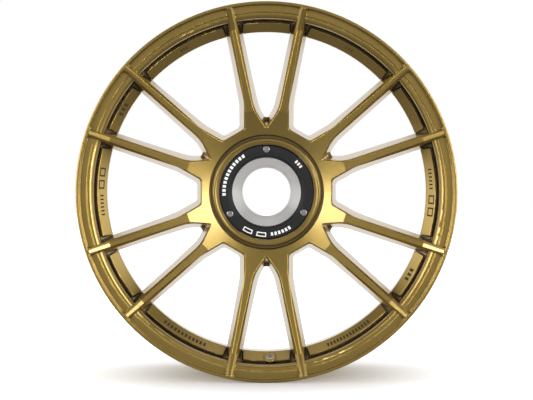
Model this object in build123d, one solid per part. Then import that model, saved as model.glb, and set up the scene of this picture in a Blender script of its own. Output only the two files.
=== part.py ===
"""Forged centre-lock racing wheel, 20 x 9 in: one forging, nut seat insert, cover ring, screws, bushes.

Modelled with the wheel axis along Z and the outer face towards +Z, then stood upright: the outer
face looks towards -Y and the wheel turns about Y. All sizes are in millimetres.
"""
import os
from math import asin, atan2, cos, hypot, radians, sin, sqrt, tan

from build123d import *

os.makedirs("parts", exist_ok=True)

# ---------------------------------------------------------------- rim sizes
BEAD_SEAT_D = 508.0        # 20 in bead seat
BEAD_SPAN = 228.6          # 9 in between the flanges
FLANGE_H = 17.5            # flange above the bead seat
FLANGE_W = 12.7            # each flange, along the axis
FLANGE_T = 5.4             # flange wall behind the lip
SEAT_TAPER = 5.0           # bead seat angle, degrees
SEAT_LENGTH = 22.3         # bead seat, along the axis
HUMP_RISE = 1.4            # safety hump over the end of the seat
WELL_DROP = 15.5           # drop centre below the bead seat
WELL_W = 30.3              # drop centre, along the axis
WALL_T = 5.8               # barrel wall
WELL_T = 5.0               # barrel wall at the drop centre
LIP_W = 4.0                # flat front of the lip

# ---------------------------------------------------------------- spoke sizes
SPOKES = 12
HUB_DEPTH = 34.0           # outer hub face behind the lip
BEND_DEPTH = 12.0          # where the spokes turn up to the lip, behind the lip
BEND_INSET = 31.5          # and inside the lip
CREASE_GAP = 35.5          # from the hub groove to where the spokes start to rise
CREASE_RISE = 8.8          # dish of the hub face, from the groove to there
SPOKE_ANGLE = 11.45        # each spoke from the axis of its pair, degrees
FLAT_CREASE = 4.85         # half width of the flat spoke face at the crease
FLAT_BEND = 2.7            # and at the bend
FLAT_LIP = 2.2             # and at the lip
SIDE_CREASE = 7.6          # half width between the side walls at the crease, at hub face height
SIDE_BEND = 9.3            # and from the bend outwards
DRAFT = 8.6                # forging draft of the windows, degrees
SHOULDER = 45.0            # spoke shoulder from the wheel axis, degrees
ROOT_SHOULDER = 1.7        # shoulder width around the hub
V_ROOT_GAP = 8.0           # from the hub groove to the sharp corner of the V window
V_ROOT_ANGLE = 34.5        # each side of that corner, degrees
V_ROOT_FILLET = 3.0
BASE_GAP = 10.5            # from the hub groove to the flat base of the wide window
ARM_X = 30.6               # half width of the hub arm that carries a pair
BASE_FILLET = 6.5
ROOT_BLEND = 60.0          # large radius from root to spoke side
POCKET_FILLET = 3.5        # corners of the pockets behind the lip

# ---------------------------------------------------------------- hub sizes
HUB_T = 46.0               # from the outer hub face to the mounting face
REGISTER_R = 42.05         # centring register, back
REGISTER_DEPTH = 10.0
PAD_STEP = 3.0             # mounting pad above the hub back
PAD_MARGIN = 13.5          # mounting pad around the pin bushes
HUB_BACK_GAP = 26.3        # from the hub groove to the back of the hub
HUB_BACK_T = 11.0
PIN_PCD = 130.0
PINS = 15
PIN_R = 7.2                # bore of a pin bush
BUSH_WALL = 2.3
BUSH_L = 12.0
BUSH_WEB = 2.0             # forging between the bushes and the seat insert
SEAT_R = 49.3              # large end of the nut cone
SEAT_ANGLE = 45.0          # nut cone from the axis, degrees
SEAT_LAND = 6.2            # straight bore below the cone
SEAT_WALL = 4.7            # seat insert outside the cone
BORE_GAP = 1.0             # forging bore around the insert's bore
RING_SEAT_DEPTH = 11.5     # floor below the cover ring, behind the hub face
RING_T = 6.7
RING_W = 14.0              # cover ring outside the seat insert
RING_GAP = 0.3             # around the cover ring, inside and outside
COLLAR_W = 8.7             # raised collar around the ring
COLLAR_RISE = 1.6
GROOVE_W = 5.5
GROOVE_DEPTH = 6.5
SCREW_ANGLES = (90.0, 211.0, 331.0)
SCREW_R = 2.5
HEAD_R = 4.75
HEAD_T = 3.2
HEAD_GAP = 0.15
INSERT_WALL = 1.5          # threaded insert around its screw
INSERT_L = 10.0
INSERT_WEB = 3.5           # forging between the seat insert and a threaded insert

# ---------------------------------------------------------------- valve sizes
VALVE_R = 5.65             # valve hole
VALVE_ANGLE = 271.2        # around the wheel, degrees
VALVE_RISE = 8.1           # outside the inner edge of the pads
BOSS_W = 3.25              # boss around the valve hole
BOSS_T = 1.4
SPOT_W = 2.85              # spot face around the valve hole, tyre side
SPOT_T = 12.0              # from the pad surface to the spot face

# ---------------------------------------------------------------- derived
SEAT_IN_R = BEAD_SEAT_D / 2
FLANGE_R = SEAT_IN_R + FLANGE_H
SPAN_Z = BEAD_SPAN / 2
LIP_Z = SPAN_Z + FLANGE_W
SEAT_END_Z = SPAN_Z - SEAT_LENGTH
SEAT_END_R = SEAT_IN_R - SEAT_LENGTH * tan(radians(SEAT_TAPER))
WELL_R = SEAT_IN_R - WELL_DROP
WELL_Z = SEAT_END_Z - 17.7
POCKET_R = FLANGE_R - LIP_W
FLOOR_Z = SPAN_Z + FLANGE_T
UNDER_R = SEAT_IN_R - 6.8
STEP = 360 / (SPOKES / 2)

BUSH_R = PIN_R + BUSH_WALL
INSERT_R = SCREW_R + INSERT_WALL
SEAT_INSERT_R = SEAT_R + SEAT_WALL
RING_R = SEAT_INSERT_R + RING_W
SCREW_CIRCLE = SEAT_INSERT_R + INSERT_WEB + INSERT_R
COLLAR_R = RING_R + RING_GAP + COLLAR_W
GROOVE_R = COLLAR_R + GROOVE_W
CREASE_R = GROOVE_R + CREASE_GAP
BEND_R = POCKET_R - BEND_INSET
HUB_BACK_R = GROOVE_R + HUB_BACK_GAP
PAD_R = PIN_PCD / 2 + BUSH_R + PAD_MARGIN

HUB_FACE_Z = LIP_Z - HUB_DEPTH
CREASE_Z = HUB_FACE_Z + CREASE_RISE
BEND_Z = LIP_Z - BEND_DEPTH
OFFSET = HUB_FACE_Z - HUB_T            # mounting face ahead of the rim mid-plane
SEAT_INSERT_Z = OFFSET + BUSH_L + BUSH_WEB
RING_SEAT_Z = HUB_FACE_Z - RING_SEAT_DEPTH
COLLAR_Z = HUB_FACE_Z + COLLAR_RISE
SEAT_CONE_Z = SEAT_INSERT_Z + SEAT_LAND
BORE_R = SEAT_R - (RING_SEAT_Z - SEAT_CONE_Z) * tan(radians(SEAT_ANGLE))


def turned(*corners):
    """Solid of revolution about Z from (radius, height, corner fillet) corners."""
    points = [(r, z) for r, z, _ in corners]
    fillets = [f for _, _, f in corners]
    outline = FilletPolyline(*points, radius=fillets, close=True)
    return revolve(Plane.XZ * make_face(outline), Axis.Z)


def line(p, q):
    """Line through two points as (unit normal to the right of the heading, distance)."""
    dx, dy = q[0] - p[0], q[1] - p[1]
    nx, ny = dy / hypot(dx, dy), -dx / hypot(dx, dy)
    return nx, ny, nx * p[0] + ny * p[1]


def meet(a, b):
    det = a[0] * b[1] - a[1] * b[0]
    return (a[2] * b[1] - a[1] * b[2]) / det, (a[0] * b[2] - a[2] * b[0]) / det


def moved(a, distance):
    return a[0], a[1], a[2] + distance


def beside(angle, radius, half_width):
    """Point beside a radial line at an angle from the window axis, on the window's side of it."""
    a = radians(angle)
    x = radius * sin(a) - half_width * cos(a)
    y = radius * cos(a) + half_width * sin(a)
    return x, y


def trace(p, z1, q, z2, slope):
    """Line at hub face height of the sloping plane that holds p at height z1 and q at height z2."""
    k = tan(radians(slope))
    dx, dy = q[0] - p[0], q[1] - p[1]
    heading = atan2(dy, dx) + asin(k * (z2 - z1) / hypot(dx, dy))
    nx, ny = sin(heading), -cos(heading)
    return nx, ny, nx * p[0] + ny * p[1] - k * (z1 - HUB_FACE_Z)


def window_face(sides, fillets, base, z, slope):
    """Window outline at one height from its right-hand sides, root to rim, given at hub face height."""
    out = (z - HUB_FACE_Z) * tan(radians(slope))
    lines = [moved(s, out) for s in sides] + [(0.0, 1.0, FLANGE_R + 10.0)]
    right = [meet(a, b) for a, b in zip(lines, lines[1:])]
    mirrored = (-lines[0][0], lines[0][1], lines[0][2])
    if base is None:
        root = [meet(lines[0], mirrored)]
    else:
        root = [meet(lines[0], moved(base, out))]
    points = root + right + [(-x, y) for x, y in reversed(right)]
    radii = [f + out if f > 0 else 0.0 for f in fillets] + [0.0]
    rounds = [0.0] * len(root) + radii + radii[::-1]
    if base is not None:
        points.append((-root[0][0], root[0][1]))
        rounds.append(0.0)
    outline = FilletPolyline(*points, radius=rounds, close=True)
    return Plane.XY.offset(z) * make_face(outline)


def window(sides, fillets, base, bottom_z, top_z, slope):
    """Drafted window cutter, wider towards the outer face."""
    bottom = window_face(sides, fillets, base, bottom_z, slope)
    top = window_face(sides, fillets, base, top_z, slope)
    return loft([bottom, top], ruled=True)


def around(part, count, start=0.0):
    return [Rot(0, 0, start + k * 360 / count) * part for k in range(count)]


# ---------------------------------------------------------------- barrel
BACK_R = SEAT_IN_R - 3.5
barrel = turned(
    (FLANGE_R, LIP_Z, 1.2),
    (FLANGE_R, LIP_Z - 4.0, 1.2),
    (FLANGE_R - 3.5, SPAN_Z, 7.0),
    (SEAT_IN_R, SPAN_Z, 6.5),
    (SEAT_END_R, SEAT_END_Z, 1.5),
    (SEAT_END_R + HUMP_RISE, SEAT_END_Z - 3.0, 2.0),
    (SEAT_END_R + HUMP_RISE, SEAT_END_Z - 6.0, 2.0),
    (WELL_R, WELL_Z, 8.0),
    (WELL_R, WELL_Z - WELL_W, 15.0),
    (BACK_R, WELL_Z - WELL_W - 36.0, 30.0),
    (SEAT_END_R - 0.4, -SEAT_END_Z + 7.0, 1.5),
    (SEAT_END_R + HUMP_RISE, -SEAT_END_Z + 5.5, 1.5),
    (SEAT_END_R + HUMP_RISE, -SEAT_END_Z + 2.5, 1.5),
    (SEAT_END_R, -SEAT_END_Z, 1.5),
    (SEAT_IN_R, -SPAN_Z, 6.5),
    (FLANGE_R - 3.5, -SPAN_Z, 7.0),
    (FLANGE_R, -LIP_Z + 4.0, 1.2),
    (FLANGE_R, -LIP_Z, 1.2),
    (FLANGE_R - 4.5, -LIP_Z, 1.0),
    (FLANGE_R - 5.5, -FLOOR_Z, 2.5),
    (SEAT_IN_R - WALL_T, -FLOOR_Z, 6.0),
    (SEAT_IN_R - WALL_T, -SEAT_END_Z - 2.0, 6.0),
    (SEAT_END_R - 0.4 - WALL_T, -SEAT_END_Z + 7.0, 6.0),
    (BACK_R - WALL_T, WELL_Z - WELL_W - 38.0, 30.0),
    (WELL_R - WELL_T, WELL_Z - WELL_W - 2.5, 15.0),
    (WELL_R - WELL_T - 1.1, WELL_Z - 14.3, 0.0),
    (WELL_R - WELL_T - 1.3, SEAT_END_Z - 11.5, 2.0),
    (UNDER_R - 2.4, SEAT_END_Z - 3.5, 1.0),
    (UNDER_R, SEAT_END_Z - 3.5, 1.0),
    (UNDER_R, FLOOR_Z - 1.3, 6.5),
    (POCKET_R - 11.7, FLOOR_Z - 1.3, 0.4),
    (POCKET_R - 10.7, FLOOR_Z, 0.6),
    (POCKET_R - 1.1, FLOOR_Z + 0.2, 1.0),
    (POCKET_R, LIP_Z, 0.6),
)

# ---------------------------------------------------------------- disc before the windows are cut
disc = turned(
    (BORE_R + BORE_GAP, OFFSET + REGISTER_DEPTH, 0.4),
    (BORE_R + BORE_GAP, SEAT_INSERT_Z, 0.4),
    (SEAT_INSERT_R, SEAT_INSERT_Z, 0.0),
    (SEAT_INSERT_R, RING_SEAT_Z, 0.4),
    (RING_R + RING_GAP, RING_SEAT_Z, 0.0),
    (RING_R + RING_GAP, COLLAR_Z - 5.5, 0.5),
    (COLLAR_R - 4.2, COLLAR_Z, 2.0),
    (COLLAR_R, COLLAR_Z, 1.0),
    (COLLAR_R, HUB_FACE_Z - GROOVE_DEPTH, 1.0),
    (GROOVE_R, HUB_FACE_Z - GROOVE_DEPTH, 1.0),
    (GROOVE_R, HUB_FACE_Z, 0.6),
    (CREASE_R, CREASE_Z, 0.0),
    (BEND_R, BEND_Z, 0.0),
    (POCKET_R - 1.5, LIP_Z, 0.0),
    (POCKET_R + 1.5, LIP_Z, 0.0),
    (POCKET_R + 1.5, LIP_Z - 6.0, 0.0),
    (POCKET_R - 9.5, LIP_Z - 10.0, 0.0),
    (UNDER_R + 3.3, LIP_Z - 15.0, 0.0),
    (UNDER_R + 2.8, SEAT_END_Z, 0.0),
    (WELL_R - 3.0, SEAT_END_Z - 16.0, 0.0),
    ((HUB_BACK_R + BEND_R) / 2, (OFFSET + PAD_STEP + SEAT_END_Z - 11.0) / 2, 20.0),
    (HUB_BACK_R + 4.0, OFFSET + PAD_STEP, 6.0),
    (PAD_R, OFFSET + PAD_STEP, 1.5),
    (PAD_R, OFFSET, 1.0),
    (REGISTER_R, OFFSET, 0.6),
    (REGISTER_R, OFFSET + REGISTER_DEPTH, 0.8),
)

# ---------------------------------------------------------------- windows between the spokes
V_ANGLE = SPOKE_ANGLE
WIDE_ANGLE = STEP / 2 - SPOKE_ANGLE
FLAT_END_R = POCKET_R - 5.0
FLAT_END_Z = BEND_Z + (LIP_Z - BEND_Z) * (FLAT_END_R - BEND_R) / (POCKET_R - 1.5 - BEND_R)


def spoke_walls(angle):
    inner = line(beside(angle, CREASE_R, SIDE_CREASE), beside(angle, BEND_R, SIDE_BEND))
    outer = line(beside(angle, BEND_R, SIDE_BEND), beside(angle, FLANGE_R, SIDE_BEND))
    return [inner, outer]


def spoke_shoulders(angle):
    crease = beside(angle, sqrt(CREASE_R ** 2 - FLAT_CREASE ** 2), FLAT_CREASE)
    bend = beside(angle, sqrt(BEND_R ** 2 - FLAT_BEND ** 2), FLAT_BEND)
    end = beside(angle, FLAT_END_R, FLAT_LIP)
    return [trace(crease, CREASE_Z, bend, BEND_Z, SHOULDER), trace(bend, BEND_Z, end, FLAT_END_Z, SHOULDER)]


def dish_z(p):
    """Height of the dished hub face over a point."""
    return HUB_FACE_Z + (hypot(*p) - GROOVE_R) * CREASE_RISE / CREASE_GAP


def root_side(p, q):
    """Shoulder and wall planes of a window side whose front edge runs from p to q on the hub face."""
    nx, ny, _ = line(p, q)
    drop = ROOT_SHOULDER / tan(radians(SHOULDER))
    low_p = (p[0] - nx * ROOT_SHOULDER, p[1] - ny * ROOT_SHOULDER)
    low_q = (q[0] - nx * ROOT_SHOULDER, q[1] - ny * ROOT_SHOULDER)
    bevel = trace(p, dish_z(p), q, dish_z(q), SHOULDER)
    return bevel, trace(low_p, dish_z(p) - drop, low_q, dish_z(q) - drop, DRAFT)


V_ROOT = (0.0, GROOVE_R + V_ROOT_GAP)
V_SIDE = radians(V_ROOT_ANGLE)
flank_bevel, flank = root_side(V_ROOT, (30.0 * sin(V_SIDE), V_ROOT[1] + 30.0 * cos(V_SIDE)))
BASE_Y = GROOVE_R + BASE_GAP
arm_bevel, arm = root_side(beside(STEP / 2, BASE_Y, ARM_X), beside(STEP / 2, BASE_Y + 25.0, ARM_X))
base_bevel, base = root_side((-ARM_X / 2, BASE_Y), (ARM_X / 2, BASE_Y))
TOP_Z = LIP_Z + 3.0
BOTTOM_Z = OFFSET - 5.0
SHOULDER_Z = HUB_FACE_Z - 5.0
blends = [ROOT_BLEND, 0.0]
sharp = [0.0, 0.0]
pocket_limit = turned(
    (0.0, BOTTOM_Z - 1.0, 0.0),
    (POCKET_R - (LIP_Z - BOTTOM_Z + 1.0) * tan(radians(DRAFT)), BOTTOM_Z - 1.0, 0.0),
    (POCKET_R + (TOP_Z + 1.0 - LIP_Z) * tan(radians(DRAFT)), TOP_Z + 1.0, 0.0),
    (0.0, TOP_Z + 1.0, 0.0),
)
shoulder_limit = turned(
    (0.0, SHOULDER_Z - 1.0, 0.0),
    (POCKET_R - (LIP_Z - SHOULDER_Z + 1.0) * tan(radians(SHOULDER)), SHOULDER_Z - 1.0, 0.0),
    (POCKET_R + (TOP_Z + 1.0 - LIP_Z) * tan(radians(SHOULDER)), TOP_Z + 1.0, 0.0),
    (0.0, TOP_Z + 1.0, 0.0),
)

v_walls = [flank] + spoke_walls(V_ANGLE)
v_cutter = window(v_walls, blends, None, BOTTOM_Z, TOP_Z, DRAFT) & pocket_limit
wide_walls = [arm] + spoke_walls(WIDE_ANGLE)
wide_cutter = window(wide_walls, blends, base, BOTTOM_Z, TOP_Z, DRAFT) & pocket_limit
v_bevel = window([flank_bevel] + spoke_shoulders(V_ANGLE), blends, None, SHOULDER_Z, TOP_Z, SHOULDER)
v_bevel = v_bevel & shoulder_limit
wide_sides = [arm_bevel] + spoke_shoulders(WIDE_ANGLE)
wide_bevel = window(wide_sides, sharp, base_bevel, SHOULDER_Z, TOP_Z, SHOULDER)
wide_bevel = wide_bevel & shoulder_limit


def uprights(part):
    """Edges that run from the bottom to the top of a cutter, from the hub outwards."""
    tall = part.edges().filter_by(lambda e: abs((e @ 0).Z - (e @ 1).Z) > 35)
    return tall.sort_by(Axis.Y)


v_cutter = fillet(uprights(v_cutter)[-2:], POCKET_FILLET)
v_cutter = fillet(uprights(v_cutter)[:1], V_ROOT_FILLET)
wide_cutter = fillet(uprights(wide_cutter)[-2:], POCKET_FILLET)
wide_cutter = fillet(uprights(wide_cutter)[:2], BASE_FILLET)
v_bevel = fillet(uprights(v_bevel)[:1], V_ROOT_FILLET)
wide_bevel = fillet(uprights(wide_bevel)[:2], BASE_FILLET)
hub_back = Pos(0, 0, OFFSET + HUB_BACK_T / 2) * Cylinder(HUB_BACK_R, HUB_BACK_T + 12.0)
v_cutter = v_cutter - hub_back


# ---------------------------------------------------------------- raised pads and the valve boss
PAD_LIP = (UNDER_R - 2.9, SEAT_END_Z + 3.0)    # radius and height of the pads' outer edge
PAD_WELL = (WELL_R - 8.0, SEAT_END_Z - 8.0)    # and of their edge at the drop centre
CHANNEL_W = 29.8                               # between two pads, across a spoke
pads = turned(
    (*PAD_LIP, 1.0),
    (*PAD_WELL, 1.2),
    (WELL_R - 6.5, SEAT_END_Z - 22.0, 0.0),
    (WELL_R - 2.5, SEAT_END_Z - 22.0, 0.0),
    (UNDER_R - 2.2, SEAT_END_Z - 6.0, 0.0),
)
trough = Polyline(
    (-CHANNEL_W / 2 + 2.5, SEAT_END_Z - 26.0),
    (CHANNEL_W / 2 - 2.5, SEAT_END_Z - 26.0),
    (CHANNEL_W / 2 - 2.5, SEAT_END_Z - 7.0),
    (CHANNEL_W / 2 + 1.5, SEAT_END_Z + 7.0),
    (-CHANNEL_W / 2 - 1.5, SEAT_END_Z + 7.0),
    (-CHANNEL_W / 2 + 2.5, SEAT_END_Z - 7.0),
    close=True,
)
across = Plane(origin=(0, WELL_R - 23.5, 0), x_dir=(-1, 0, 0), z_dir=(0, 1, 0))
channel = extrude(across * make_face(trough), amount=40)
spoke_angles = [k * STEP + side * SPOKE_ANGLE for k in range(SPOKES // 2) for side in (-1, 1)]
pads = pads - [Rot(0, 0, a) * channel for a in spoke_angles]

pad_rise = (PAD_LIP[1] - PAD_WELL[1]) / (PAD_LIP[0] - PAD_WELL[0])
VALVE_POS_R = PAD_WELL[0] + VALVE_RISE
valve_z = PAD_WELL[1] + VALVE_RISE * pad_rise
turn = radians(VALVE_ANGLE)
valve_plane = Plane(
    origin=(VALVE_POS_R * cos(turn), VALVE_POS_R * sin(turn), valve_z),
    z_dir=(-pad_rise * cos(turn), -pad_rise * sin(turn), 1.0),
)
BOSS_ROOT = 6.0
boss = Cylinder(VALVE_R + BOSS_W, BOSS_T + BOSS_ROOT)
boss = valve_plane * Pos(0, 0, (BOSS_T - BOSS_ROOT) / 2) * boss
boss = fillet(boss.edges().sort_by(Axis.Z)[-1], 0.6)
valve_hole = valve_plane * Pos(0, 0, -5.0) * Cylinder(VALVE_R, 40.0)
valve_spot = valve_plane * Pos(0, 0, -SPOT_T - 5.0) * Cylinder(VALVE_R + SPOT_W, 10.0)

# ---------------------------------------------------------------- holes in the hub
bush_hole = Pos(PIN_PCD / 2, 0, OFFSET + BUSH_L / 2 - 0.5) * Cylinder(BUSH_R, BUSH_L + 1.0)
insert_hole = Pos(SCREW_CIRCLE, 0, RING_SEAT_Z - INSERT_L / 2 + 0.5) * Cylinder(INSERT_R, INSERT_L + 1.0)

windows = around(v_cutter, SPOKES // 2) + around(wide_cutter, SPOKES // 2, STEP / 2)
bevels = around(v_bevel, SPOKES // 2) + around(wide_bevel, SPOKES // 2, STEP / 2)
disc = disc - (windows + bevels)

disc = disc - [Rot(0, 0, 90 + k * 360 / PINS) * bush_hole for k in range(PINS)]
disc = disc - [Rot(0, 0, a) * insert_hole for a in SCREW_ANGLES]
forging = barrel + pads + boss + disc
forging = forging - [valve_hole, valve_spot]

# ---------------------------------------------------------------- pieces fitted to the forging
seat_insert = turned(
    (BORE_R, SEAT_INSERT_Z, 0.4),
    (BORE_R, SEAT_CONE_Z, 0.8),
    (SEAT_R, RING_SEAT_Z, 0.2),
    (SEAT_INSERT_R, RING_SEAT_Z, 0.2),
    (SEAT_INSERT_R, SEAT_INSERT_Z, 0.4),
)

RING_TOP_Z = RING_SEAT_Z + RING_T
RING_IN_R = SEAT_R + RING_GAP
cover_ring = turned(
    (RING_IN_R, RING_SEAT_Z, 0.0),
    (RING_IN_R, RING_SEAT_Z + 2.6, 0.5),
    (RING_IN_R + 3.8, RING_TOP_Z - 1.6, 0.3),
    (RING_IN_R + 4.8, RING_TOP_Z - 1.6, 0.2),
    (RING_IN_R + 4.8, RING_TOP_Z - 0.8, 0.2),
    (RING_IN_R + 6.8, RING_TOP_Z - 0.8, 0.2),
    (RING_IN_R + 7.4, RING_TOP_Z, 0.2),
    (RING_R - 1.0, RING_TOP_Z, 0.6),
    (RING_R, RING_TOP_Z - 1.0, 0.4),
    (RING_R, RING_SEAT_Z, 0.0),
)
HEAD_SEAT_Z = RING_TOP_Z - HEAD_T
head_hole = Pos(SCREW_CIRCLE, 0, HEAD_SEAT_Z + 5.0) * Cylinder(HEAD_R + HEAD_GAP, 10.0)
shank_hole = Pos(SCREW_CIRCLE, 0, RING_SEAT_Z) * Cylinder(SCREW_R + HEAD_GAP, 20.0)
cover_ring = cover_ring - [Rot(0, 0, a) * h for a in SCREW_ANGLES for h in (head_hole, shank_hole)]

SCREW_END_Z = RING_SEAT_Z - INSERT_L + 2.0
head = Pos(0, 0, HEAD_SEAT_Z + HEAD_T / 2) * Cylinder(HEAD_R, HEAD_T)
head = fillet(head.edges().sort_by(Axis.Z)[-1], 0.8)
socket = Pos(0, 0, RING_TOP_Z - 1.8) * extrude(RegularPolygon(2.0, 6), amount=4.0)
shank = Pos(0, 0, (HEAD_SEAT_Z + SCREW_END_Z) / 2) * Cylinder(SCREW_R, HEAD_SEAT_Z - SCREW_END_Z)
screw = Pos(SCREW_CIRCLE, 0, 0) * (head + shank - socket)

sleeve = Cylinder(INSERT_R, INSERT_L) - Cylinder(SCREW_R, INSERT_L)
screw_insert = Pos(SCREW_CIRCLE, 0, RING_SEAT_Z - INSERT_L / 2) * sleeve

bush = Cylinder(BUSH_R, BUSH_L) - Cylinder(PIN_R, BUSH_L)
bush = chamfer(bush.edges().filter_by(GeomType.CIRCLE).sort_by(Axis.Z)[:2], 0.6)
bush = Pos(PIN_PCD / 2, 0, OFFSET + BUSH_L / 2) * bush

# ---------------------------------------------------------------- stand the wheel upright and write
nodes = {"wheel_forging": forging, "nut_seat_insert": seat_insert, "cover_ring": cover_ring}
for k, a in enumerate(SCREW_ANGLES, 1):
    nodes[f"cover_screw_{k}"] = Rot(0, 0, a) * screw
    nodes[f"screw_insert_{k}"] = Rot(0, 0, a) * screw_insert
for k in range(PINS):
    nodes[f"pin_bush_{k + 1:02d}"] = Rot(0, 0, 90 + k * 360 / PINS) * bush
for name, part in nodes.items():
    export_step(Rot(90, 0, 0) * part, f"parts/{name}.step")
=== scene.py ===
"""Forged centre-lock racing wheel: materials, printed and engraved marks, studio and camera."""

import math

import bmesh
import bpy
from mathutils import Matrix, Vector


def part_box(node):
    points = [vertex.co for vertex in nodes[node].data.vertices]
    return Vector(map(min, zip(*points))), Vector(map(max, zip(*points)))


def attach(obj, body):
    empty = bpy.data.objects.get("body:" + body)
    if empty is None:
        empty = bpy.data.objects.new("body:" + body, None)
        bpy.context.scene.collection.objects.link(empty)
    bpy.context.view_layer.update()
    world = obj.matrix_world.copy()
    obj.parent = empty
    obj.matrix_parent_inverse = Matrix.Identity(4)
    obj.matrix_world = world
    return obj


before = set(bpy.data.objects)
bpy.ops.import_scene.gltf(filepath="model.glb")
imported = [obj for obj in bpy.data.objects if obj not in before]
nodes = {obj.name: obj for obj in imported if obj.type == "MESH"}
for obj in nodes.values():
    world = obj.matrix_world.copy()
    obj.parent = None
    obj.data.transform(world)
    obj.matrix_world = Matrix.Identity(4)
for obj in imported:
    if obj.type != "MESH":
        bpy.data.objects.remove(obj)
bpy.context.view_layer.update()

WHEEL_R = max(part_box("wheel_forging")[1].x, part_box("wheel_forging")[1].z)
RING_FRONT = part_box("cover_ring")[0].y
LIP_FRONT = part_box("wheel_forging")[0].y


# ---------------------------------------------------------------- node helpers
class Shader:
    """A material with one Principled BSDF and the nodes that feed it."""

    def __init__(self, name, **constants):
        self.material = bpy.data.materials.new(name)
        self.material.use_nodes = True
        self.tree = self.material.node_tree
        self.tree.nodes.clear()
        self.bsdf = self.tree.nodes.new("ShaderNodeBsdfPrincipled")
        out = self.tree.nodes.new("ShaderNodeOutputMaterial")
        self.tree.links.new(self.bsdf.outputs["BSDF"], out.inputs["Surface"])
        for socket, value in constants.items():
            self.bsdf.inputs[socket.replace("_", " ")].default_value = value
        self.place = self.node("ShaderNodeTexCoord").outputs["Object"]

    def node(self, kind, settings=None, **inputs):
        made = self.tree.nodes.new(kind)
        for key, value in (settings or {}).items():
            setattr(made, key, value)
        for key, value in inputs.items():
            self.feed(made.inputs[key.replace("_", " ")], value)
        return made

    def feed(self, socket, value):
        if isinstance(value, bpy.types.NodeSocket):
            self.tree.links.new(value, socket)
        else:
            socket.default_value = value

    def math(self, operation, a, b=0.0):
        made = self.node("ShaderNodeMath", {"operation": operation})
        self.feed(made.inputs[0], a)
        self.feed(made.inputs[1], b)
        return made.outputs[0]

    def noise(self, scale, detail=3.0, vector=None, roughness=0.5):
        made = self.node("ShaderNodeTexNoise", Vector=vector or self.place, Scale=scale)
        self.feed(made.inputs["Detail"], detail)
        self.feed(made.inputs["Roughness"], roughness)
        return made.outputs["Fac"]

    def ramp(self, factor, *stops):
        """Colour ramp from (position, colour) stops."""
        made = self.node("ShaderNodeValToRGB", Fac=factor)
        ramp = made.color_ramp
        while len(ramp.elements) < len(stops):
            ramp.elements.new(0.5)
        for element, (position, colour) in zip(ramp.elements, stops):
            element.position = position
            element.color = (*colour, 1.0)
        return made.outputs["Color"]

    def spread(self, factor, low, high):
        """Maps a 0 to 1 noise onto low to high."""
        made = self.node("ShaderNodeMapRange", Value=factor, To_Min=low, To_Max=high)
        return made.outputs["Result"]

    def mix(self, factor, a, b, blend="MIX"):
        made = self.node("ShaderNodeMix", {"data_type": "RGBA", "blend_type": blend})
        self.feed(made.inputs[0], factor)
        self.feed(made.inputs[6], a)
        self.feed(made.inputs[7], b)
        return made.outputs[2]

    def radius(self):
        """Distance from the wheel axis."""
        split = self.node("ShaderNodeSeparateXYZ", Vector=self.place)
        flat = self.node("ShaderNodeCombineXYZ", X=split.outputs["X"], Z=split.outputs["Z"])
        made = self.node("ShaderNodeVectorMath", {"operation": "LENGTH"}, Vector=flat.outputs[0])
        return made.outputs["Value"], split.outputs["Y"]

    def turning(self, pitch):
        """Noise that runs round the wheel axis, as tool marks do, pitch apart."""
        radius, depth = self.radius()
        across = self.math("MULTIPLY", radius, 1 / pitch)
        along = self.math("MULTIPLY", depth, 1 / pitch)
        line = self.node("ShaderNodeCombineXYZ", X=across, Y=along)
        return self.noise(1.0, 2.0, line.outputs[0], 0.6)

    def painted_crevice_shade(self, reach):
        """Painted shade mask from ambient occlusion: 1 in the open, towards 0 deep in a groove or a corner.
        """
        made = self.node("ShaderNodeAmbientOcclusion", {"samples": 6}, Distance=reach)
        return made.outputs["AO"]

    def bump(self, height, strength, distance, edge=0.0):
        """Fine relief, over edges broken by a small radius."""
        made = self.node("ShaderNodeBump", Height=height, Strength=strength, Distance=distance)
        if edge:
            rounded = self.node("ShaderNodeBevel", {"samples": 6}, Radius=edge)
            self.feed(made.inputs["Normal"], rounded.outputs["Normal"])
        self.feed(self.bsdf.inputs["Normal"], made.outputs["Normal"])


GOLD_EDGE = 0.0018           # radius the paint leaves on an edge
GOLD_SHADE_REACH = 0.012           # how far the painted shade reaches into a groove or corner
RING_EDGE = 0.0004
FINE_PEEL = 0.0002


def gold_paint():
    """Satin metallic gold over a forging: fine flake, faint cloudiness, orange peel, and painted shade that
    darkens grooves and corners.
    """
    s = Shader("gold_satin", Metallic=1.0, Coat_Weight=1.0, Coat_Roughness=0.24, Coat_IOR=1.7)
    flake = s.noise(1500.0, 1.0)
    cloud = s.noise(9.0, 3.0)
    tone = s.ramp(cloud, (0.3, (0.47, 0.305, 0.042)), (0.7, (0.53, 0.350, 0.060)))
    grain = s.ramp(flake, (0.3, (0.86, 0.86, 0.86)), (0.7, (1.0, 1.0, 1.0)))
    # painted shade: ambient occlusion darkens the gold's base colour in grooves and corners
    shade = s.ramp(s.painted_crevice_shade(GOLD_SHADE_REACH), (0.30, (0.20, 0.17, 0.13)), (0.72, (1.0, 1.0, 1.0)))
    paint = s.mix(1.0, tone, grain, "MULTIPLY")
    s.feed(s.bsdf.inputs["Base Color"], s.mix(1.0, paint, shade, "MULTIPLY"))
    s.feed(s.bsdf.inputs["Roughness"], s.spread(s.noise(260.0, 2.0), 0.27, 0.35))
    s.bump(s.noise(420.0, 2.0), 0.12, FINE_PEEL, GOLD_EDGE)
    return s.material


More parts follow.
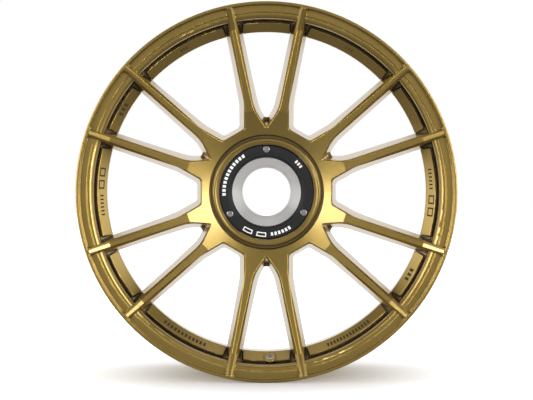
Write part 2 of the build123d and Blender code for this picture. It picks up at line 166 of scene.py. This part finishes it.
def black_anodised():
    """Black anodised aluminium, turned: faint rings, uneven gloss."""
    s = Shader("black_turned", Metallic=0.6)
    rings = s.turning(0.0006)
    tone = s.ramp(rings, (0.3, (0.010, 0.010, 0.011)), (0.7, (0.040, 0.040, 0.042)))
    s.feed(s.bsdf.inputs["Base Color"], tone)
    s.feed(s.bsdf.inputs["Roughness"], s.spread(s.noise(300.0, 2.0), 0.32, 0.45))
    s.bump(rings, 0.45, 0.00008, RING_EDGE)
    return s.material


def turned_metal(name, metallic, dark, light, low, high, pitch):
    """Bare machined metal with tool marks around the axis."""
    s = Shader(name, Metallic=metallic)
    rings = s.turning(pitch)
    s.feed(s.bsdf.inputs["Base Color"], s.ramp(rings, (0.3, dark), (0.7, light)))
    s.feed(s.bsdf.inputs["Roughness"], s.spread(s.noise(180.0, 2.0), low, high))
    s.bump(rings, 0.3, 0.00008)
    return s.material


def screw_steel():
    """Bright steel with scuffs."""
    s = Shader("screw_steel_finish", Metallic=1.0)
    scuff = s.noise(900.0, 4.0)
    s.feed(s.bsdf.inputs["Base Color"], s.ramp(scuff, (0.3, (0.55, 0.54, 0.52)), (0.7, (0.80, 0.79, 0.77))))
    s.feed(s.bsdf.inputs["Roughness"], s.spread(scuff, 0.16, 0.34))
    s.bump(scuff, 0.1, 0.00005)
    return s.material


def print_white():
    """Screen-printed white, slightly uneven."""
    s = Shader("print_white", Roughness=0.55)
    wear = s.noise(1600.0, 3.0)
    s.feed(s.bsdf.inputs["Base Color"], s.ramp(wear, (0.25, (0.62, 0.62, 0.60)), (0.6, (0.86, 0.86, 0.84))))
    s.bump(wear, 0.08, 0.00003)
    return s.material


def engraving_painted_shade():
    """Dark colour for the engraved marks in the gold paint: painted shade standing in for the shade inside
    their cuts.
    """
    s = Shader("engraving_painted_shade", Metallic=0.4)
    wear = s.noise(1100.0, 3.0)
    tone = s.ramp(wear, (0.3, (0.040, 0.028, 0.010)), (0.7, (0.085, 0.060, 0.020)))
    s.feed(s.bsdf.inputs["Base Color"], tone)
    s.feed(s.bsdf.inputs["Roughness"], s.spread(wear, 0.45, 0.6))
    return s.material


# ---------------------------------------------------------------- materials on the CAD nodes
gold = gold_paint()
black = black_anodised()
steel = screw_steel()
cone = turned_metal("nut_seat_turned", 0.82, (0.80, 0.80, 0.80), (0.96, 0.96, 0.96), 0.26, 0.36, 0.0005)
bush = turned_metal("bush_ground", 1.0, (0.42, 0.41, 0.40), (0.62, 0.61, 0.60), 0.24, 0.36, 0.0004)


def finish_for(name):
    """Material of a CAD node, from its name."""
    if name.startswith("pin_bush"):
        return bush
    if name.startswith(("cover_screw", "screw_insert")):
        return steel
    return {"wheel_forging": gold, "cover_ring": black, "nut_seat_insert": cone}[name]


for name, obj in nodes.items():
    obj.data.materials.clear()
    obj.data.materials.append(finish_for(name))


# ---------------------------------------------------------------- marks
def around(radius, depth, degrees):
    """Point at an angle round the wheel, counter-clockwise seen from the front; 0 is to the right."""
    a = math.radians(degrees)
    return Vector((radius * math.cos(a), depth, radius * math.sin(a)))


def add_block(mesh, inner, outer, start, end, skin, steps=3):
    """Thin curved block between two (radius, depth) rims and two angles, its skin lifted off the surface."""
    rows = []
    for k in range(steps + 1):
        a = start + (end - start) * k / steps
        low = [around(*inner, a), around(*outer, a)]
        high = [around(rim[0] + skin[0], rim[1] + skin[1], a) for rim in (inner, outer)]
        rows.append([mesh.verts.new(p) for p in (low[0], low[1], high[1], high[0])])
    for a, b in zip(rows, rows[1:]):
        for i in range(4):
            j = (i + 1) % 4
            mesh.faces.new((a[i], a[j], b[j], b[i]))
    mesh.faces.new(rows[0][::-1])
    mesh.faces.new(rows[-1])


def add_frame(mesh, inner, outer, start, end, skin, rail, post):
    """Hollow mark: two curved rails a share of its height wide, and two posts, in degrees."""
    low = tuple(i + (o - i) * rail for i, o in zip(inner, outer))
    high = tuple(o - (o - i) * rail for i, o in zip(inner, outer))
    add_block(mesh, inner, low, start, end, skin, 5)
    add_block(mesh, high, outer, start, end, skin, 5)
    add_block(mesh, low, high, start, start + post, skin, 1)
    add_block(mesh, low, high, end - post, end, skin, 1)


def piece(name, mesh, material):
    """Turns a finished mesh into an object of the part, fixed to its only body."""
    bmesh.ops.recalc_face_normals(mesh, faces=mesh.faces)
    data = bpy.data.meshes.new(name)
    mesh.to_mesh(data)
    mesh.free()
    made = bpy.data.objects.new(name, data)
    bpy.context.scene.collection.objects.link(made)
    data.materials.append(material)
    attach(made, "root")


SUNK = 0.00015               # how deep a mark's underside sits in the surface
PRINT_T = 0.00008            # how far its skin stands proud


def ring_scale():
    """White dashes in three arcs and two hollow marks, printed on the cover ring."""
    mesh = bmesh.new()
    base = RING_FRONT + SUNK
    lift = (0.0, -SUNK - PRINT_T)
    # start and end angle, dashes, inner and outer radius, share of the pitch that is printed
    arcs = [
        (120.5, 186.0, 12, 0.0590, 0.0637, 0.62),
        (34.5, 47.5, 3, 0.0590, 0.0637, 0.55),
        (275.0, 305.0, 6, 0.0586, 0.0634, 0.60),
    ]
    for start, end, count, r0, r1, share in arcs:
        pitch = (end - start) / count
        for k in range(count):
            a = start + pitch * (k + 0.5)
            half = pitch * share / 2
            add_block(mesh, (r0, base), (r1, base), a - half, a + half, lift, 4)
    for start, end in ((237.5, 250.5), (256.5, 269.5)):
        add_frame(mesh, (0.0583, base), (0.0648, base), start, end, lift, 0.22, 1.3)
    return mesh


# (radius, depth) of the barrel pad's sloping face, in from the lip's outer edge
PAD_WELL = (WHEEL_R - 0.0410, LIP_FRONT + 0.0430)
PAD_LIP = (WHEEL_R - 0.0272, LIP_FRONT + 0.0320)


def on_pad(share):
    """(radius, depth) on the sloping face of the barrel pads, from the well edge to the lip edge."""
    return tuple(w + (l - w) * share for w, l in zip(PAD_WELL, PAD_LIP))


def pad_marks():
    """Dark dashes and four hollow marks in the faces of the barrel pads."""
    mesh = bmesh.new()
    slope = Vector((PAD_LIP[0] - PAD_WELL[0], PAD_LIP[1] - PAD_WELL[1])).normalized()
    out = Vector((slope.y, -slope.x))
    skin = tuple(out * (SUNK + PRINT_T))
    # centre, start and end angle from it, dashes, low and high share of the face, share of the pitch
    rows = [
        (180.0, 0.6, 8.5, 6, 0.34, 0.66, 0.42),
        (0.0, 0.6, 8.5, 6, 0.34, 0.66, 0.42),
        (240.0, -8.6, 8.6, 12, 0.36, 0.68, 0.58),
        (300.0, -8.6, 8.6, 14, 0.36, 0.68, 0.58),
        (150.0, -2.6, 2.6, 3, 0.34, 0.70, 0.58),
        (330.0, -2.6, 2.6, 3, 0.34, 0.70, 0.58),
        (60.0, -1.6, 1.6, 3, 0.36, 0.62, 0.55),
        (120.0, -1.6, 1.6, 3, 0.36, 0.62, 0.55),
    ]
    sunk = (-out.x * SUNK, -out.y * SUNK)
    for centre, start, end, count, low, high, share in rows:
        pitch = (end - start) / count
        inner = tuple(p + d for p, d in zip(on_pad(low), sunk))
        outer = tuple(p + d for p, d in zip(on_pad(high), sunk))
        for k in range(count):
            a = centre + start + pitch * (k + 0.5)
            half = pitch * share / 2
            add_block(mesh, inner, outer, a - half, a + half, skin, 3)
    inner = tuple(p + d for p, d in zip(on_pad(0.26), sunk))
    outer = tuple(p + d for p, d in zip(on_pad(0.80), sunk))
    for start, end in ((171.5, 174.6), (175.8, 178.9), (-8.5, -5.4), (-4.2, -1.1)):
        add_frame(mesh, inner, outer, start, end, skin, 0.16, 0.55)
    return mesh


piece("ring_scale", ring_scale(), print_white())
# the barrel marks are thin dark sheets: painted shade where the pads are engraved
piece("barrel_marks", pad_marks(), engraving_painted_shade())


# ---------------------------------------------------------------- studio
def floor_material():
    """Pale matt floor that glows to white away from the wheel, so that only its contact shadow shows."""
    s = Shader("pale_floor", Roughness=0.6, Specular_IOR_Level=0.2, Emission_Strength=1.0)
    tone = s.ramp(s.noise(3.0, 2.0), (0.3, (0.84, 0.84, 0.84)), (0.7, (0.90, 0.90, 0.90)))
    s.feed(s.bsdf.inputs["Base Color"], tone)
    away = s.node("ShaderNodeVectorMath", {"operation": "LENGTH"}, Vector=s.place).outputs["Value"]
    s.feed(s.bsdf.inputs["Emission Color"], s.ramp(away, (0.06, (0.0, 0.0, 0.0)), (0.42, (0.9, 0.9, 0.9))))
    return s.material


FLOOR_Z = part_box("wheel_forging")[0].z   # the wheel stands on it
FLOOR_HALF = 9.0
FLOOR_CELLS = 12
grid = bmesh.new()
bmesh.ops.create_grid(grid, x_segments=FLOOR_CELLS, y_segments=FLOOR_CELLS, size=FLOOR_HALF)
floor_mesh = bpy.data.meshes.new("studio_floor")
grid.to_mesh(floor_mesh)
grid.free()
floor = bpy.data.objects.new("studio_floor", floor_mesh)
floor.location = (0.0, 0.0, FLOOR_Z)
bpy.context.scene.collection.objects.link(floor)
floor_mesh.materials.append(floor_material())
floor.visible_glossy = False


def softbox(name, place, target, width, height, radiance):
    """Rectangular soft light with an even radiance, hidden from the camera."""
    data = bpy.data.lights.new(name, "AREA")
    data.shape = "RECTANGLE"
    data.size = width
    data.size_y = height
    data.energy = radiance * math.pi * width * height
    light = bpy.data.objects.new(name, data)
    bpy.context.scene.collection.objects.link(light)
    light.location = place
    light.rotation_euler = (Vector(target) - Vector(place)).to_track_quat("-Z", "Y").to_euler()
    light.visible_camera = False


SIDE = 2.0                   # side lights, out from the wheel axis
AIM = 0.2                    # height they point at
FRONT = -3.9                 # pair beside the camera's line, that the dished hub mirrors
BESIDE = -1.1                # weaker pair beside the wheel
softbox("left_front", (-SIDE, FRONT, 0.50), (0.0, FRONT, AIM), 2.6, 1.5, 6.5)
softbox("right_front", (SIDE, FRONT, 0.60), (0.0, FRONT, AIM), 2.6, 1.8, 7.0)
softbox("left_side", (-SIDE, BESIDE, 0.40), (0.0, BESIDE, AIM), 3.0, 1.5, 1.1)
softbox("right_side", (SIDE, BESIDE, 0.40), (0.0, BESIDE, AIM), 3.0, 1.5, 1.1)
softbox("overhead", (0.0, -0.2, 2.6), (0.0, 0.0, 0.0), 3.0, 1.6, 0.9)


def studio_world():
    """White behind the wheel, grey in front of it."""
    world = bpy.data.worlds.new("studio")
    world.use_nodes = True
    tree = world.node_tree
    tree.nodes.clear()
    coord = tree.nodes.new("ShaderNodeTexCoord")
    split = tree.nodes.new("ShaderNodeSeparateXYZ")
    ramp = tree.nodes.new("ShaderNodeValToRGB")
    shift = tree.nodes.new("ShaderNodeMapRange")
    back = tree.nodes.new("ShaderNodeBackground")
    out = tree.nodes.new("ShaderNodeOutputWorld")
    shift.inputs["From Min"].default_value = -1.0
    tree.links.new(coord.outputs["Generated"], split.inputs[0])
    tree.links.new(split.outputs["Y"], shift.inputs["Value"])
    tree.links.new(shift.outputs["Result"], ramp.inputs["Fac"])
    tree.links.new(ramp.outputs["Color"], back.inputs["Color"])
    tree.links.new(back.outputs[0], out.inputs["Surface"])
    stops = ramp.color_ramp.elements
    stops[0].position, stops[0].color = 0.45, (0.235, 0.235, 0.24, 1.0)
    stops[1].position, stops[1].color = 0.85, (1.0, 1.0, 1.0, 1.0)
    back.inputs["Strength"].default_value = 1.0
    return world


bpy.context.scene.world = studio_world()

# ---------------------------------------------------------------- camera
EYE_HEIGHT = 0.035           # above the wheel axis
EYE_DISTANCE = 2.5           # from the lip
PITCH = math.radians(1.05)   # looking down
IMAGE_WIDTH = 533
FOCAL_PX = 1760.0
SENSOR = 36.0
camera_data = bpy.data.cameras.new("photo_camera")
camera_data.sensor_width = SENSOR
camera_data.lens = FOCAL_PX * SENSOR / IMAGE_WIDTH
camera_data.clip_start = 0.05
camera_data.clip_end = 60.0
camera = bpy.data.objects.new("photo_camera", camera_data)
bpy.context.scene.collection.objects.link(camera)
camera.location = (0.0, LIP_FRONT - EYE_DISTANCE, EYE_HEIGHT)
camera.rotation_euler = (math.pi / 2 - PITCH, 0.0, 0.0)
bpy.context.scene.camera = camera

bpy.context.scene.view_settings.view_transform = "Standard"
